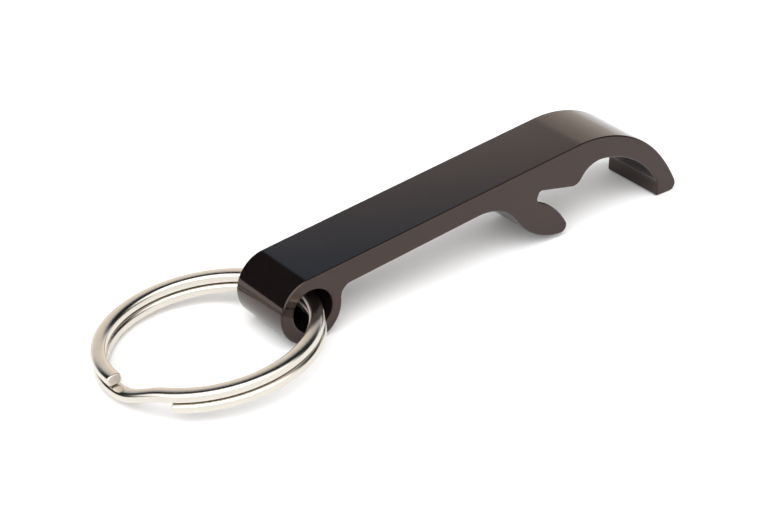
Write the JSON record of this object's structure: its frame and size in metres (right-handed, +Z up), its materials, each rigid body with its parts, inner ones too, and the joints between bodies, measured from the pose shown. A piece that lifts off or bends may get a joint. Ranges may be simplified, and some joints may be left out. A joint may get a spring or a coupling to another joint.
{
  "type": "keychain bottle opener",
  "caption": "Extruded aluminium hook-shaped bottle opener with a can-tab tooth, and a split key ring that swings in the eye at its tail.",
  "frame": {"origin": "centre of the footprint of the whole part as it lies on a table, at table height", "axes": "+Z up from the table, +X along the opener from its tail towards the hook, +Y across the opener's width"},
  "size_m": [0.104, 0.0348, 0.0151],
  "materials": {
    "anodised": "glossy black anodised",
    "ring_metal": "polished nickel plate"
  },
  "bodies": {
    "opener": {"opener_body": "anodised"},
    "ring": {"split_ring": "ring_metal"}
  },
  "joints": [
    {"name": "ring_swing", "type": "hinge", "parent": "opener", "child": "ring", "pos_m": [-0.01988, 0, 0.00542], "axis": [0, 1, 0], "range_deg": [-175, 163]}
  ]
}
